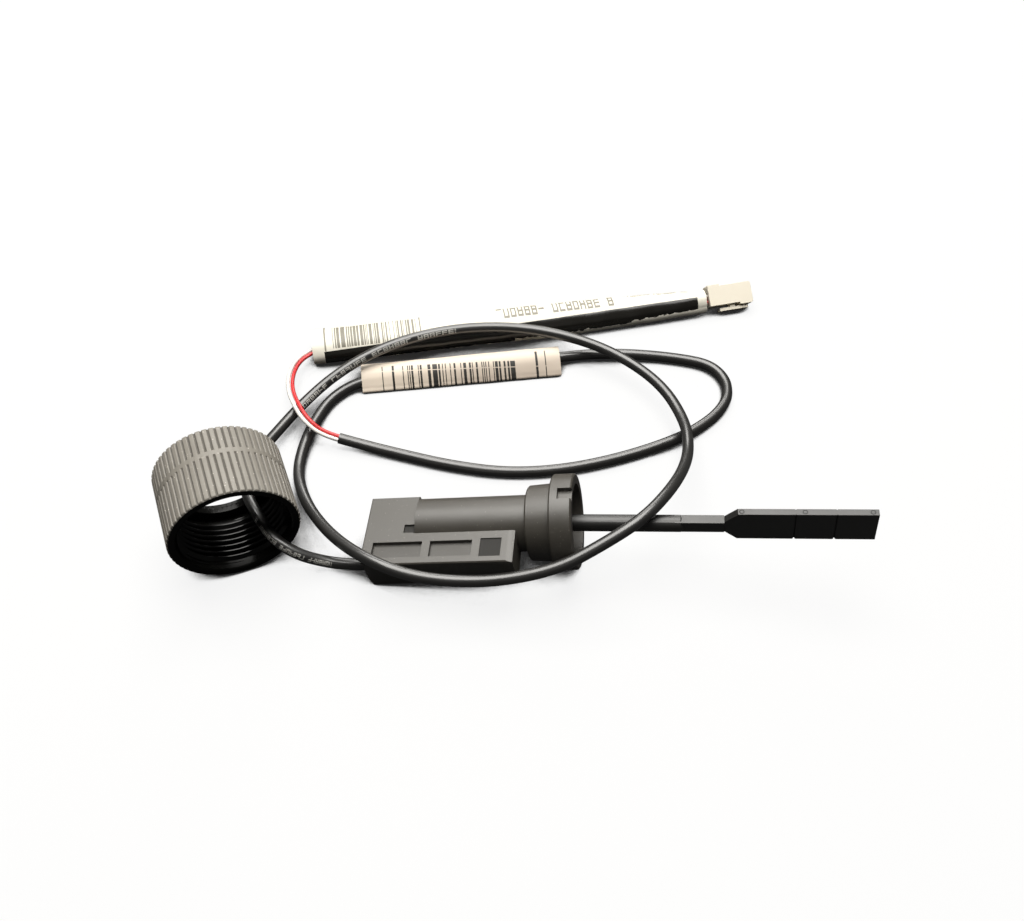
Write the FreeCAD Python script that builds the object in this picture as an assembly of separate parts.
"""Paddle flow switch on its lead: head, paddle, reed switch, union nut, labels and connector."""
import FreeCAD
import Part
import math
import os

Vector = FreeCAD.Vector

# Sensor head, in its own frame: +X along the tube to the paddle, flange face at x = 0, +Z up
flange_radius = 16.2
flange_length = 7.6
flange_chamfer = 0.5
collar_radius = 13.2
collar_length = 8.5
collar_draft = 0.5
tube_radius = 9.6
head_length = 71.5
head_top = 7.2
head_height = 12.0
block_length = 17.4
block_back = 7.8
rail_front = 19.9
rail_back = 7.4
rail_end = 19.5
edge_break = 0.4
corner_chamfer = 2.0

# Recesses in the rail's top face
pocket_width = 6.1
pocket_depth = 1.5
pocket_inset = 2.7
pocket_start = 3.6
pocket_gap = 2.8
pocket_shares = (0.5443, 0.4557)
insert_size = 7.1
insert_depth = 0.4
insert_end_gap = 4.2
relief_length = 3.8
relief_width = 3.3
relief_depth = 0.8
end_facet_length = 2.3
end_facet_drop = 0.7

# Key slot in the flange's rim
key_length = 4.7
key_width = 4.2
key_depth = 1.9

# Wet cavity: round mouth in the flange, then a flat slot down the tube for the arm
mouth_radius = 12.8
mouth_depth = 6.0
slot_width = 13.0
slot_floor = -3.4
slot_roof = 4.9
slot_radius = 1.5
slot_end_wall = 1.0

# Pivot pin across the collar
pin_radius = 1.25
pin_setback = 11.0
pin_top = 10.6
pin_bottom = -12.2
pin_press = 0.02
pin_running_gap = 0.06

# Paddle, in its own frame: +X along the rod, pivot at x = 0, blade upright
rod_radius = 2.86
rod_end = 46.1
rod_tip_length = 0.95
rod_tip_radius = 2.0
neck_width = 3.25
neck_height = 5.06
neck_length = 13.2
shoulder_length = 4.3
blade_length = 43.9
blade_height = 13.4
blade_thickness = 2.48
blade_chamfer = 0.13
break_groove_depth = 0.35
break_groove_width = 0.7
break_groove_from_tip = (25.7, 12.9)
break_notch_depth = 0.6
hub_radius = 3.9
hub_clearance = 0.5
arm_radius = 1.7
arm_tip_gap = 6.1
cup_radius = 2.9
cup_length = 7.0
magnet_radius = 2.0
magnet_length = 5.0
magnet_gap = 0.05
paddle_droop = 2.67
paddle_lean = 0.96

# Return magnet in the blind end of the tube
return_magnet_radius = 2.0
return_magnet_length = 3.0

# Reed switch chamber in the rail
chamber_radius = 2.6
chamber_drop = 0.9
chamber_forward = 14.2
chamber_end = 26.0
potting_length = 8.0
board_width = 3.1
board_thickness = 0.6
board_end_gap = 0.5
board_gap = 0.08
tail_on_board = 3.0
glass_radius = 1.1
glass_wall = 0.3
glass_length = 14.0
glass_end_wall = 1.6
glass_end_radius = 0.55
lead_radius = 0.28
lead_clear = 3.0
foot_radius = 0.22
foot_inset = 0.5
blade_strip_width = 0.8
blade_strip_thickness = 0.18
contact_gap = 0.12
contact_overlap = 1.6
strip_root = 0.3
tail_radius = 0.65
tail_spacing = 1.6
tail_length = 15.0
fit_gap = 0.05

# Union nut, in its own frame: +X out of its threaded mouth, rear face at x = 0
nut_radius = 21.75
nut_length = 28.6
nut_bore_radius = 18.7
nut_lip_radius = 15.3
nut_lip_thickness = 2.6
nut_skirt_length = 3.6
nut_skirt_radius = 18.3
knurl_count = 60
knurl_depth = 0.75
knurl_groove_share = 0.34
knurl_rear_length = 8.6
knurl_band_length = 2.9
nut_chamfer = 0.6

# Lead, cores and what is on them
cable_radius = 2.05
cable_straight = 6.0
core_radius = 0.75
core_spacing = 1.7
core_straight = 6.6
core_end_straight = 7.6
corner_share = 0.45
cable_label_width = 14.0
cable_label_height = 6.0
cable_label_wall = 0.4
core_label_widths = (15.6, 9.8)
core_label_heights = (9.4, 7.6)
core_label_wall = 0.5
core_label_lift = 1.5
floor_gap = 0.02

# Connector, in its own frame: +X from the cores to the mating face, base at z = 0
connector_length = 18.6
connector_width = 9.0
connector_height = 6.0
connector_pitch = 2.5
connector_axis_height = 3.0
connector_collar_length = 5.2
connector_collar_extra = 0.7
cavity_size = 2.1
contact_size = 1.9
contact_length = 12.0
contact_nose = 1.3
lever_length = 11.4
lever_thickness = 1.3
lever_height = 3.6
lever_gap = 0.35
shroud_length = 5.8
shroud_step = 0.9
lever_post_length = 2.0
lever_post_at = 9.8
lever_hook = 0.9

# Room that a cutting shape reaches past a face, and how near counts as on a face
cut_past = 1.0
close = 0.01

# Places on the table, in the object's frame
head_place = (23.58, -3.94)
head_yaw = 4.78
nut_place = (-94.30, 0.93)
nut_yaw = 21.61
connector_place = (82.0, 117.9)
connector_yaw = 13.0
connector_roll = 37.0
cable_label_ends = ((-58.2, 75.6), (19.8, 85.0))
core_label_ends = ((-79.1, 90.9), (80.0, 117.3))

# Hand-chosen points of the lead and its cores, past the straight runs at their ends
cable_route = [
    (-62.00, -11.20, 4.30), (-70.70, -10.80, 9.40),
    (-78.50, -7.40, 13.20), (-85.00, 0.60, 14.00), (-90.40, 9.60, 12.80), (-93.80, 20.00, 10.20),
    (-93.20, 31.20, 6.60), (-87.80, 42.60, 4.20), (-79.20, 57.60, 3.90), (-67.40, 70.60, 7.40),
    (-52.00, 80.80, 11.20), (-35.00, 90.40, 11.00), (-14.90, 95.55, 10.55), (7.10, 95.25, 10.35),
    (27.80, 89.40, 10.00), (44.60, 79.60, 9.00), (57.80, 64.40, 8.50), (65.00, 47.00, 8.80),
    (65.80, 32.50, 11.60), (62.00, 17.60, 17.60), (53.90, 2.00, 25.00), (44.20, -10.40, 27.00),
    (31.20, -18.60, 23.60), (16.60, -25.00, 19.00), (-2.30, -27.80, 15.40), (-19.40, -27.20, 14.40),
    (-32.90, -24.60, 15.60), (-43.90, -19.60, 16.40), (-54.20, -11.00, 13.40), (-63.80, 1.00, 8.00),
    (-71.40, 14.60, 3.90), (-75.80, 28.00, 2.15), (-77.00, 40.50, 2.15), (-74.80, 53.50, 2.15),
    (-68.40, 65.20, 2.30), (-58.00, 73.20, 3.00), (-40.40, 76.60, 3.05), (-16.40, 79.80, 3.10),
    (5.60, 84.00, 3.05), (21.60, 87.60, 2.80), (36.60, 89.80, 2.20), (53.10, 89.20, 2.15),
    (69.10, 85.40, 2.15), (78.70, 81.10, 2.15), (84.00, 74.80, 2.15), (85.50, 67.00, 2.15),
    (83.00, 59.20, 2.15), (76.60, 51.50, 2.15), (65.00, 43.60, 2.15), (44.60, 36.20, 2.15),
    (21.60, 31.00, 2.15), (-0.40, 30.20, 2.15), (-21.40, 33.00, 2.15), (-40.90, 37.80, 2.15),
    (-53.90, 41.20, 2.60), (-63.40, 43.20, 4.30),
]
red_route = [
    (-75.30, 49.20, 8.60), (-79.60, 56.30, 8.40),
    (-82.80, 65.80, 6.40), (-83.90, 75.30, 4.80), (-82.20, 83.20, 4.60), (-76.80, 88.60, 4.80),
    (-64.20, 92.30, 4.80), (-40.30, 96.50, 4.70), (-4.30, 102.10, 4.60), (35.70, 108.90, 4.40),
    (63.60, 113.00, 4.10),
]
white_route = [
    (-76.60, 48.00, 8.60), (-81.20, 55.60, 8.40),
    (-84.50, 65.50, 6.40), (-85.70, 75.50, 4.80), (-83.70, 84.20, 4.60), (-77.60, 90.20, 4.80),
    (-64.70, 94.00, 4.80), (-40.50, 98.30, 4.70), (-4.50, 104.00, 4.60), (35.40, 110.70, 4.60),
    (63.20, 115.30, 5.20),
]

# Sizes that follow from those above
head_floor = head_top - head_height
block_start = -head_length
block_face = block_start + block_length
collar_start = -flange_length - collar_length
head_pitch = math.degrees(math.atan2(flange_radius + head_floor, head_length - flange_length))
head_rise = (flange_radius * math.cos(math.radians(head_pitch))
             + flange_length * math.sin(math.radians(head_pitch)))
slot_end = block_face + slot_end_wall
pivot_x = -pin_setback
arm_length = pivot_x - slot_end - arm_tip_gap - cup_length
insert_left = -rail_end - insert_end_gap - insert_size
pocket_room = insert_left - 2 * pocket_gap - (block_start + pocket_start)
chamber_y = -chamber_forward
chamber_z = -chamber_drop
board_seat = chamber_z - math.sqrt(chamber_radius ** 2 - (board_width / 2) ** 2)
board_top = board_seat + board_thickness + board_gap
board_left = block_start + tail_length - tail_on_board
board_length = -chamber_end - board_end_gap - board_left
glass_z = board_top + glass_radius + board_gap
lead_span = board_length - tail_on_board - 2 * lead_clear
lead_reach = (lead_span - glass_length) / 2
glass_mid = board_left + tail_on_board + lead_clear + lead_span / 2
tail_z = board_top + tail_radius + board_gap
blade_start = rod_end + neck_length + shoulder_length


def box(x_low, x_high, y_low, y_high, z_low, z_high):
    """A block between two corners."""
    size = (x_high - x_low, y_high - y_low, z_high - z_low)
    return Part.makeBox(*size, Vector(x_low, y_low, z_low))


def rod_x(radius, x_low, x_high, y=0.0, z=0.0):
    """A round bar along X."""
    return Part.makeCylinder(radius, x_high - x_low, Vector(x_low, y, z), Vector(1, 0, 0))


def turned(profile):
    """A solid turned about X from (x, radius) points."""
    points = [Vector(x, 0, r) for x, r in profile]
    wire = Part.makePolygon(points + [points[0]])
    return Part.Face(wire).revolve(Vector(0, 0, 0), Vector(1, 0, 0), 360)


def outline_x(points, x_low, x_high):
    """A prism along X from (y, z) points."""
    corners = [Vector(x_low, y, z) for y, z in points]
    wire = Part.makePolygon(corners + [corners[0]])
    return Part.Face(wire).extrude(Vector(x_high - x_low, 0, 0))


def outline_y(points, y_low, y_high):
    """A prism along Y from (x, z) points."""
    corners = [Vector(x, y_low, z) for x, z in points]
    wire = Part.makePolygon(corners + [corners[0]])
    return Part.Face(wire).extrude(Vector(0, y_high - y_low, 0))


def outline_z(points, z_low, z_high):
    """A prism along Z from (x, y) points."""
    corners = [Vector(x, y, z_low) for x, y in points]
    wire = Part.makePolygon(corners + [corners[0]])
    return Part.Face(wire).extrude(Vector(0, 0, z_high - z_low))


def edges_along(shape, direction, keep):
    """Straight edges along one direction whose middle passes the keep test."""
    chosen = []
    for edge in shape.Edges:
        if edge.Curve.TypeId != "Part::GeomLine":
            continue
        run = edge.Vertexes[-1].Point - edge.Vertexes[0].Point
        if close < run.getAngle(direction) < math.pi - close:
            continue
        middle = (edge.Vertexes[-1].Point + edge.Vertexes[0].Point) * 0.5
        if keep(middle):
            chosen.append(edge)
    return chosen


def placed(shape, place):
    """A copy of a shape moved to its place."""
    copy = shape.copy()
    copy.Placement = place.multiply(copy.Placement)
    return copy


def head_placement():
    """The head lies on its flange's rim and its block's end, so the tube rises towards the paddle."""
    turn = FreeCAD.Rotation(-head_yaw, -head_pitch, 0)
    return FreeCAD.Placement(Vector(*head_place, head_rise), turn)


def paddle_placement():
    """The paddle hangs on its pin with a little droop and lean from the pin's play."""
    turn = FreeCAD.Rotation(-paddle_lean, paddle_droop, 0)
    return head_placement().multiply(FreeCAD.Placement(Vector(pivot_x, 0, 0), turn))


def nut_placement():
    """The nut lies on its side, its mouth turned to the front and right."""
    turn = FreeCAD.Rotation(nut_yaw - 90, 0, 0)
    middle = turn.multVec(Vector(nut_length / 2, 0, 0))
    return FreeCAD.Placement(Vector(*nut_place, nut_radius) - middle, turn)


def connector_placement():
    """The connector lies past the label sleeve, tipped on to its latch lever."""
    turn = FreeCAD.Rotation(connector_yaw, 0, connector_roll)
    roll = math.radians(connector_roll)
    reach = connector_width / 2 + lever_gap + lever_thickness
    rise = floor_gap + reach * math.sin(roll) + lever_height / 2 * math.cos(roll)
    middle = turn.multVec(Vector(0, 0, connector_axis_height))
    return FreeCAD.Placement(Vector(*connector_place, rise) - middle, turn)


def rail_and_block():
    """Flat-topped block at the lead's end, with the rail that runs forward beside the tube."""
    plan = [
        (block_start, block_back), (block_face, block_back), (block_face, -rail_back),
        (-rail_end, -rail_back), (-rail_end, -rail_front), (block_start + corner_chamfer, -rail_front),
        (block_start, -rail_front + corner_chamfer),
    ]
    body = outline_z(plan, head_floor, head_top)
    rims = []
    for edge in body.Edges:
        middle = edge.CenterOfMass
        if abs(middle.z - head_top) < close:
            rims.append(edge)
    body = body.makeChamfer(edge_break, rims)
    facet = [(-rail_end - end_facet_length, head_top), (-rail_end + cut_past, head_top),
             (-rail_end + cut_past, head_top - end_facet_drop), (-rail_end, head_top - end_facet_drop)]
    return body.cut(outline_y(facet, -rail_front - cut_past, -rail_back + cut_past))


def tube_body():
    """Half-round tube with a flat underside, then the collar and the flange."""
    profile = [
        (block_start + corner_chamfer, 0), (block_start + corner_chamfer, tube_radius),
        (collar_start, tube_radius),
        (collar_start, collar_radius - collar_draft - flange_chamfer),
        (collar_start + flange_chamfer, collar_radius - collar_draft), (-flange_length, collar_radius),
        (-flange_length, flange_radius - flange_chamfer), (-flange_length + flange_chamfer, flange_radius),
        (-flange_chamfer, flange_radius), (0, flange_radius - flange_chamfer), (0, 0),
    ]
    body = turned(profile)
    under = box(block_start, collar_start, -flange_radius, flange_radius, -flange_radius, head_floor)
    above = box(block_start, block_face, -flange_radius, flange_radius,
                head_top - edge_break, flange_radius)
    return body.cut(under).cut(above)


def wet_cavity():
    """Round mouth in the flange and the flat slot that the paddle's arm swings in."""
    mouth = rod_x(mouth_radius, -mouth_depth, cut_past)
    slot = box(slot_end, -mouth_depth + cut_past, -slot_width / 2, slot_width / 2, slot_floor, slot_roof)
    corners = edges_along(slot, Vector(1, 0, 0), lambda middle: True)
    return mouth.fuse(slot.makeFillet(slot_radius, corners))


def rail_recesses():
    """Two moulded pockets, the square insert mark and the relief beside the block."""
    cuts = []
    pocket_front = -rail_front + pocket_inset
    left = block_start + pocket_start
    for share in pocket_shares:
        length = share * pocket_room
        cuts.append(box(left, left + length, pocket_front, pocket_front + pocket_width,
                        head_top - pocket_depth, head_top + cut_past))
        left += length + pocket_gap
    front = pocket_front - (insert_size - pocket_width) / 2
    cuts.append(box(insert_left, insert_left + insert_size, front, front + insert_size,
                    head_top - insert_depth, head_top + cut_past))
    cuts.append(box(block_face - relief_length, block_face, -rail_back, -rail_back + relief_width,
                    head_top - relief_depth, head_top + cut_past))
    return cuts


def key_slot():
    """Key slot in the top of the flange's rim, open to its face."""
    return box(-key_length, cut_past, -key_width / 2, key_width / 2,
               flange_radius - key_depth, flange_radius + cut_past)


def pin_hole():
    """Hole for the pivot pin, drilled from the underside and blind at the top."""
    foot = Vector(pivot_x, 0, -flange_radius)
    return Part.makeCylinder(pin_radius + pin_press, pin_top + flange_radius, foot)


def reed_chamber():
    """Round chamber down the rail for the reed switch, open at the block's end."""
    return rod_x(chamber_radius, block_start - cut_past, -chamber_end, chamber_y, chamber_z)


def return_magnet_seat():
    """Blind seat behind the tube's slot, in line with the arm."""
    return rod_x(return_magnet_radius + fit_gap, slot_end - return_magnet_length, slot_end + cut_past,
                 0, slot_mid())


def slot_mid():
    """Height of the middle of the slot."""
    return (slot_floor + slot_roof) / 2


def sensor_housing():
    """The whole head as one moulding."""
    body = rail_and_block().fuse(tube_body())
    tools = [wet_cavity(), key_slot(), pin_hole(), reed_chamber(), return_magnet_seat()]
    body = body.cut(tools + rail_recesses())
    return body.removeSplitter()


def pivot_pin():
    """Plain steel pin."""
    return Part.makeCylinder(pin_radius, pin_top - pin_bottom, Vector(pivot_x, 0, pin_bottom))


def blade():
    """Flat blade with bevelled rims, break-off grooves, lower notches and a shoulder to the neck."""
    tip = blade_start + blade_length
    half = blade_height / 2
    thick = blade_thickness / 2
    side = [
        (blade_start - shoulder_length, neck_height / 2), (blade_start, half), (tip, half),
        (tip, -half), (blade_start, -half), (blade_start - shoulder_length, -neck_height / 2),
    ]
    plate = outline_y(side, -thick, thick)
    rims = []
    for edge in plate.Edges:
        middle = edge.CenterOfMass
        if abs(abs(middle.y) - thick) < close and middle.x > blade_start - shoulder_length / 2:
            rims.append(edge)
    plate = plate.makeChamfer(blade_chamfer, rims)
    for from_tip in break_groove_from_tip:
        at = tip - from_tip
        for way in (1, -1):
            surface = way * thick
            groove = [(at - break_groove_width / 2, surface), (at + break_groove_width / 2, surface),
                      (at, surface - way * break_groove_depth)]
            plate = plate.cut(outline_z(groove, -half - cut_past, half + cut_past))
        notch = [(at - break_groove_width, -half), (at + break_groove_width, -half),
                 (at, -half + break_notch_depth)]
        plate = plate.cut(outline_y(notch, -thick - cut_past, thick + cut_past))
    return plate


def paddle():
    """Blade, neck, rod, hub and inner arm as one moulding, bored for the pin and the magnet."""
    hub_low = slot_floor + hub_clearance
    hub_high = slot_roof - hub_clearance
    hub = Part.makeCylinder(hub_radius, hub_high - hub_low, Vector(0, 0, hub_low))
    rod = turned([(0, 0), (0, rod_radius), (rod_end - rod_tip_length, rod_radius),
                  (rod_end, rod_tip_radius), (rod_end, 0)])
    neck = box(rod_end - rod_radius, rod_end + neck_length, -neck_width / 2, neck_width / 2,
               -neck_height / 2, neck_height / 2)
    arm_end = -arm_length - cup_length
    arm = rod_x(arm_radius, -arm_length - cut_past, 0)
    cup = turned([(arm_end, 0), (arm_end, cup_radius), (-arm_length, cup_radius),
                  (-arm_length + cup_radius - arm_radius, arm_radius), (-arm_length + cup_radius, 0)])
    body = hub.fuse([rod, neck, blade(), arm, cup])
    bore = Part.makeCylinder(pin_radius + pin_running_gap + tilt_room(), hub_high - hub_low + 2 * cut_past,
                             Vector(0, 0, hub_low - cut_past))
    seat = rod_x(magnet_radius + magnet_gap, arm_end - cut_past, arm_end + magnet_length)
    return body.cut([bore, seat]).removeSplitter()


def tilt_room():
    """Extra bore radius that lets the hub droop on its pin."""
    half_height = (slot_roof - slot_floor) / 2
    return half_height * math.tan(math.radians(paddle_droop))


def arm_magnet():
    """Round magnet in the arm's cup."""
    arm_end = -arm_length - cup_length
    return rod_x(magnet_radius, arm_end, arm_end + magnet_length)


def return_magnet():
    """Round magnet at the blind end of the slot."""
    return rod_x(return_magnet_radius, slot_end - return_magnet_length, slot_end, 0, slot_mid())


def reed_glass():
    """Sealed glass capsule with the two leads through its ends."""
    half = glass_length / 2
    outer = turned([(-half, 0), (-half, glass_end_radius), (-half + glass_end_wall, glass_radius),
                    (half - glass_end_wall, glass_radius), (half, glass_end_radius), (half, 0)])
    inner = rod_x(glass_radius - glass_wall, -half + glass_end_wall, half - glass_end_wall)
    wires = rod_x(lead_radius + fit_gap / 2, -half - cut_past, half + cut_past)
    body = outer.cut([inner, wires])
    return placed(body, FreeCAD.Placement(Vector(glass_mid, chamber_y, glass_z), FreeCAD.Rotation()))


def reed_lead(way):
    """Lead wire with its flat contact strip inside the glass and a foot down to the board."""
    half = glass_length / 2
    strip_level = way * (contact_gap + blade_strip_thickness) / 2
    reach = half + lead_reach
    strip_end = half - glass_end_wall - fit_gap
    wire = rod_x(lead_radius, strip_end - strip_root, reach)
    strip = box(-contact_overlap / 2, strip_end, -blade_strip_width / 2, blade_strip_width / 2,
                strip_level - blade_strip_thickness / 2, strip_level + blade_strip_thickness / 2)
    foot_drop = glass_z - board_top
    foot = Part.makeCylinder(foot_radius, foot_drop, Vector(reach - foot_inset, 0, -foot_drop))
    body = wire.fuse([strip, foot]).removeSplitter()
    turn = FreeCAD.Rotation(Vector(0, 0, 1), 0 if way > 0 else 180)
    return placed(body, FreeCAD.Placement(Vector(glass_mid, chamber_y, glass_z), turn))


def reed_board():
    """Thin board that slides into the chamber on its two lower edges."""
    half = board_width / 2
    return box(board_left, board_left + board_length, chamber_y - half, chamber_y + half,
               board_top - board_thickness, board_top)


def core_tail(way):
    """End of one core, from the lead's end face to its solder place on the board."""
    y = chamber_y + way * tail_spacing / 2
    return rod_x(tail_radius, block_start, block_start + tail_length, y, tail_z)


def potting_plug():
    """Resin plug that seals the chamber round the two tails."""
    plug_end = block_start + potting_length
    plug = rod_x(chamber_radius - fit_gap / 2, block_start, plug_end, chamber_y, chamber_z)
    for way in (1, -1):
        y = chamber_y + way * tail_spacing / 2
        plug = plug.cut(rod_x(tail_radius + fit_gap / 2, block_start - cut_past, plug_end + cut_past,
                              y, tail_z))
    return plug


def knurl_zone(x_low, x_high):
    """Ring of flat ridges with narrow grooves between them."""
    points = []
    pitch = 2 * math.pi / knurl_count
    groove = pitch * knurl_groove_share
    for tooth in range(knurl_count):
        start = tooth * pitch
        marks = [(0.0, nut_radius), (pitch - groove, nut_radius),
                 (pitch - groove / 2, nut_radius - knurl_depth)]
        for turn, radius in marks:
            points.append((radius * math.cos(start + turn), radius * math.sin(start + turn)))
    return outline_x(points, x_low, x_high)


def union_nut():
    """Knurled union nut with a plain band, a lip that catches the flange and a short rear skirt."""
    band_start = knurl_rear_length
    band_end = knurl_rear_length + knurl_band_length
    band = rod_x(nut_radius, band_start, band_end)
    body = knurl_zone(0, band_start).fuse([band, knurl_zone(band_end, nut_length)])
    lip_start = nut_skirt_length
    lip_end = nut_skirt_length + nut_lip_thickness
    bore = turned([
        (-cut_past, 0), (-cut_past, nut_skirt_radius), (lip_start, nut_skirt_radius),
        (lip_start, nut_lip_radius),
        (lip_end, nut_lip_radius), (lip_end, nut_bore_radius), (nut_length - nut_chamfer, nut_bore_radius),
        (nut_length + cut_past, nut_bore_radius + nut_chamfer + cut_past), (nut_length + cut_past, 0),
    ])
    return body.cut(bore)


def cable_points():
    """The lead's route: square out of the rail's end, then over its hand-chosen points."""
    place = head_placement()
    points = []
    for out in (0, cable_straight):
        points.append(place.multVec(Vector(block_start - out, chamber_y, chamber_z)))
    return points + [Vector(*point) for point in cable_route]


def core_points(way, route):
    """A core's route: square out of the jacket's end and square into its way of the connector."""
    before, end = cable_points()[-2:]
    along = end - before
    along.normalize()
    side = Vector(0, 0, 1).cross(along)
    side.normalize()
    start = end + side * (way * core_spacing / 2)
    points = [start, start + along * core_straight] + [Vector(*point) for point in route]
    place = connector_placement()
    for back in (core_end_straight, 0):
        points.append(place.multVec(Vector(-back, way * connector_pitch / 2, connector_axis_height)))
    return points


def route_wire(points):
    """Straight runs joined by tangent arcs, each arc as large as its runs allow."""
    edges = []
    radii = []
    last = points[0]
    for before, corner, after in zip(points, points[1:], points[2:]):
        arrive = corner - before
        leave = after - corner
        turn = arrive.getAngle(leave)
        trim = corner_share * min(arrive.Length, leave.Length)
        arrive.normalize()
        leave.normalize()
        start = corner - arrive * trim
        end = corner + leave * trim
        radius = trim / math.tan(turn / 2)
        inward = leave - arrive
        inward.normalize()
        middle = corner + inward * (radius / math.cos(turn / 2) - radius)
        edges.append(Part.LineSegment(last, start).toShape())
        edges.append(Part.Arc(start, middle, end).toShape())
        radii.append(radius)
        last = end
    edges.append(Part.LineSegment(last, points[-1]).toShape())
    return Part.Wire(edges), radii


def cord(name, points, radius):
    """Round cord swept along its route, with its length, tightest bends and volume printed."""
    path, radii = route_wire(points)
    ring = Part.Wire(Part.Circle(points[0], points[1] - points[0], radius).toShape())
    solid = path.makePipeShell([ring], True, False)
    expected = math.pi * radius ** 2 * path.Length
    tight = ", ".join("%.1f" % value for value in radii)
    print("%s: length %.1f mm, volume ratio %.4f" % (name, path.Length, solid.Volume / expected))
    print("  bend radii %s" % tight)
    return solid


def flat_oval(x, width, height):
    """Closed oval across X with flat top and bottom and round sides."""
    bend = height / 2
    flat = width / 2 - bend
    corners = [Vector(x, -flat, bend), Vector(x, flat, bend),
               Vector(x, flat, -bend), Vector(x, -flat, -bend)]
    sides = [Vector(x, flat + bend, 0), Vector(x, -flat - bend, 0)]
    return Part.Wire([
        Part.LineSegment(corners[0], corners[1]).toShape(),
        Part.Arc(corners[1], sides[0], corners[2]).toShape(),
        Part.LineSegment(corners[2], corners[3]).toShape(),
        Part.Arc(corners[3], sides[1], corners[0]).toShape(),
    ])


def along_table(ends, height):
    """Placement of something long that lies on the table from one end point to the other."""
    run = Vector(*ends[1], 0) - Vector(*ends[0], 0)
    yaw = math.degrees(math.atan2(run.y, run.x))
    start = Vector(*ends[0], height / 2 + floor_gap)
    return FreeCAD.Placement(start, FreeCAD.Rotation(yaw, 0, 0)), run.Length


def cable_label():
    """Paper label folded round the lead into a flat sleeve."""
    place, length = along_table(cable_label_ends, cable_label_height)
    outer = Part.Face(flat_oval(0, cable_label_width, cable_label_height)).extrude(Vector(length, 0, 0))
    inside = (cable_label_width - 2 * cable_label_wall, cable_label_height - 2 * cable_label_wall)
    inner = Part.Face(flat_oval(-cut_past, *inside)).extrude(Vector(length + 2 * cut_past, 0, 0))
    return placed(outer.cut(inner), place)


def core_label():
    """Long label rolled round the two cores, a little wider at the jacket's end."""
    place, length = along_table(core_label_ends, core_label_heights[0])
    drop = (core_label_heights[0] - core_label_heights[1]) / 2
    ends = []
    for shrink in (0.0, 2 * core_label_wall):
        near = flat_oval(0, core_label_widths[0] - shrink, core_label_heights[0] - shrink)
        far = flat_oval(length, core_label_widths[1] - shrink, core_label_heights[1] - shrink)
        far.translate(Vector(0, 0, core_label_lift - drop))
        ends.append(Part.makeLoft([near, far], True, True))
    return placed(ends[0].cut(ends[1]), place)


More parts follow.
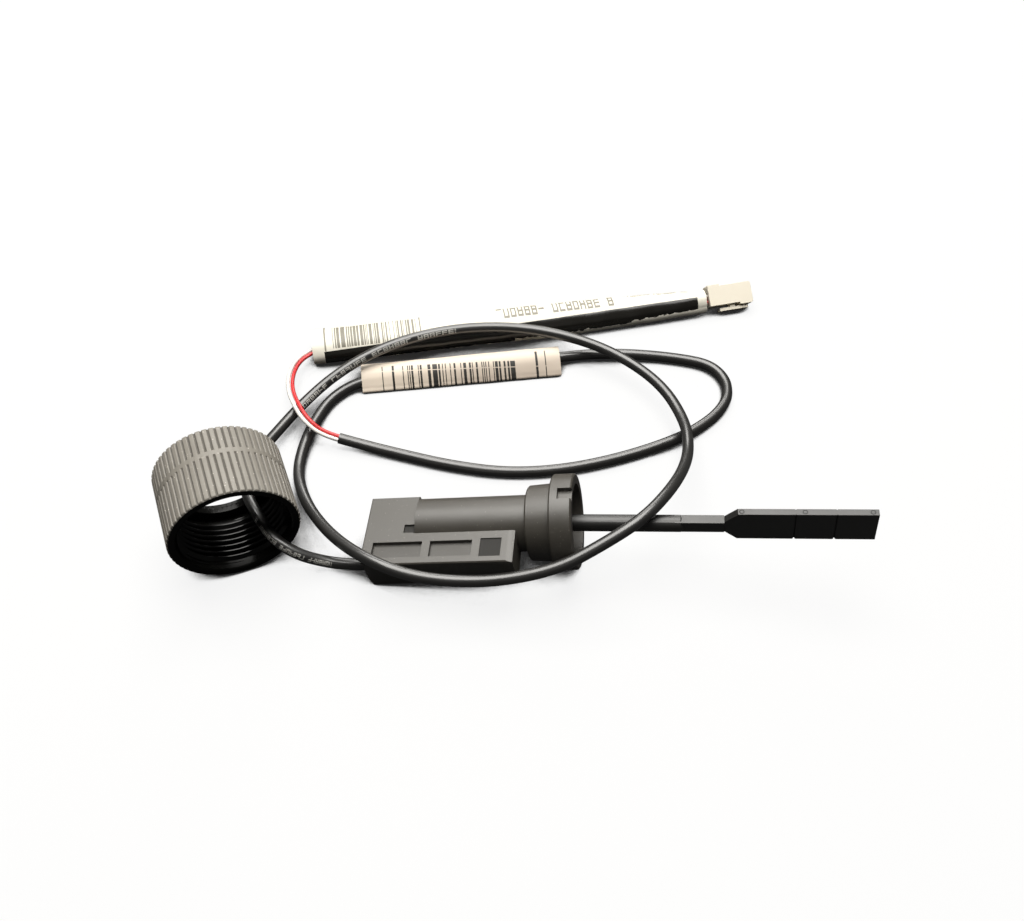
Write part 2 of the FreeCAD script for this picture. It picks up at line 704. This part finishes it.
def connector_housing():
    """Two-way housing: shroud at the mating end, rear collar, two contact cavities and latch lever."""
    half = connector_width / 2
    body = box(0, connector_length, -half, half, 0, connector_height)
    nose = edges_along(body, Vector(0, 0, 1), lambda middle: middle.x > connector_length / 2)
    body = body.makeChamfer(connector_collar_extra, nose)
    body = body.cut(box(-cut_past, connector_length - shroud_length, -half - cut_past, -half + shroud_step,
                        -cut_past, connector_height + cut_past))
    collar = box(0, connector_collar_length, 0, half + connector_collar_extra, 0, connector_height)
    lever_back = -half - lever_gap
    lever = outline_z([
        (lever_post_at - lever_length / 2, lever_back), (lever_post_at + lever_length / 2, lever_back),
        (lever_post_at + lever_length / 2, lever_back + lever_hook),
        (lever_post_at + lever_length / 2 + lever_hook, lever_back + lever_hook),
        (lever_post_at + lever_length / 2 + lever_hook, lever_back - lever_thickness),
        (lever_post_at - lever_length / 2, lever_back - lever_thickness),
    ], connector_axis_height - lever_height / 2, connector_axis_height + lever_height / 2)
    post = box(lever_post_at - lever_post_length / 2, lever_post_at + lever_post_length / 2,
               lever_back, -half + shroud_step,
               connector_axis_height - lever_height / 2, connector_axis_height + lever_height / 2)
    housing = body.fuse([collar, lever, post])
    cavities = []
    for way in (1, -1):
        y = way * connector_pitch / 2
        cavities.append(box(-cut_past, connector_length + cut_past,
                            y - cavity_size / 2, y + cavity_size / 2,
                            connector_axis_height - cavity_size / 2,
                            connector_axis_height + cavity_size / 2))
    return placed(housing.cut(cavities).removeSplitter(), connector_placement())


def connector_contact(way):
    """Crimp contact: a round crimp barrel behind a square socket."""
    y = way * connector_pitch / 2
    z = connector_axis_height
    half = contact_size / 2
    barrel_end = contact_length / 3
    barrel = rod_x(half, 0, barrel_end, y, z)
    socket = box(barrel_end, contact_length, y - half, y + half, z - half, z + half)
    mouth = box(contact_length / 2, contact_length + cut_past, y - contact_nose / 2, y + contact_nose / 2,
                z - contact_nose / 2, z + contact_nose / 2)
    return placed(barrel.fuse(socket).cut(mouth), connector_placement())


def build():
    """Every piece by its node name, in the object's frame."""
    head = head_placement()
    swing = paddle_placement()
    return {
        "sensor_housing": placed(sensor_housing(), head),
        "pivot_pin": placed(pivot_pin(), head),
        "paddle": placed(paddle(), swing),
        "arm_magnet": placed(arm_magnet(), swing),
        "return_magnet": placed(return_magnet(), head),
        "reed_glass": placed(reed_glass(), head),
        "reed_lead_front": placed(reed_lead(1), head),
        "reed_lead_rear": placed(reed_lead(-1), head),
        "reed_board": placed(reed_board(), head),
        "red_tail": placed(core_tail(-1), head),
        "white_tail": placed(core_tail(1), head),
        "potting_plug": placed(potting_plug(), head),
        "union_nut": placed(union_nut(), nut_placement()),
        "lead_cable": cord("lead_cable", cable_points(), cable_radius),
        "red_core": cord("red_core", core_points(-1, red_route), core_radius),
        "white_core": cord("white_core", core_points(1, white_route), core_radius),
        "cable_label": cable_label(),
        "core_label": core_label(),
        "connector_housing": connector_housing(),
        "red_contact": connector_contact(-1),
        "white_contact": connector_contact(1),
    }


os.makedirs("parts", exist_ok=True)
for node, shape in build().items():
    solids = shape.Solids
    limits = shape.BoundBox
    print("%-18s solids %d valid %s volume %.1f  x %.2f..%.2f  y %.2f..%.2f  z %.2f..%.2f" % (
        node, len(solids), shape.isValid(), shape.Volume, limits.XMin, limits.XMax,
        limits.YMin, limits.YMax, limits.ZMin, limits.ZMax))
    shape.exportStep("parts/%s.step" % node)
